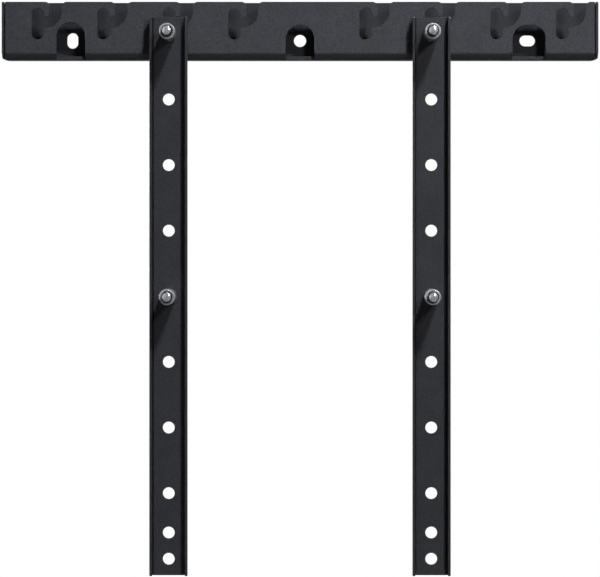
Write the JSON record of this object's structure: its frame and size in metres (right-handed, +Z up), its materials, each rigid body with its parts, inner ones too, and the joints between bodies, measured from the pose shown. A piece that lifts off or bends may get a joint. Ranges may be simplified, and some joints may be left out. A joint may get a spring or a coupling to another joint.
{
  "type": "tv wall mount",
  "caption": "Fixed flat television wall mount: a folded wall rail with hook slots, and channel strips hung in it by their screws, with spacers.",
  "frame": {"origin": "axis of the middle wall hole, in the plane of the wall", "axes": "+X along the rail to the right as seen from the television side, +Y into the wall, +Z up"},
  "size_m": [0.4558, 0.0578, 0.4379],
  "materials": {
    "rail_coat": "fine textured matt black powder coat",
    "strip_coat": "fine textured matt black powder coat",
    "cap_plastic": "matt black moulded plastic",
    "zinc_screw": "bright zinc plated steel",
    "zinc_washer": "bright zinc plated steel",
    "zinc_spacer": "bright zinc plated turned steel"
  },
  "bodies": {
    "root": {"wall_rail": "rail_coat", "end_cap_left": "cap_plastic", "end_cap_right": "cap_plastic", "tv_strip_left": "strip_coat", "tv_strip_right": "strip_coat", "hook_screw_left": "zinc_screw", "hook_washer_left": "zinc_washer", "hook_spacer_left": "zinc_spacer", "lower_screw_left": "zinc_screw", "lower_washer_left": "zinc_washer", "lock_washer_left": "zinc_washer", "lower_spacer_left": "zinc_spacer", "hook_screw_right": "zinc_screw", "hook_washer_right": "zinc_washer", "hook_spacer_right": "zinc_spacer", "lower_screw_right": "zinc_screw", "lower_washer_right": "zinc_washer", "lock_washer_right": "zinc_washer", "lower_spacer_right": "zinc_spacer"}
  },
  "joints": []
}
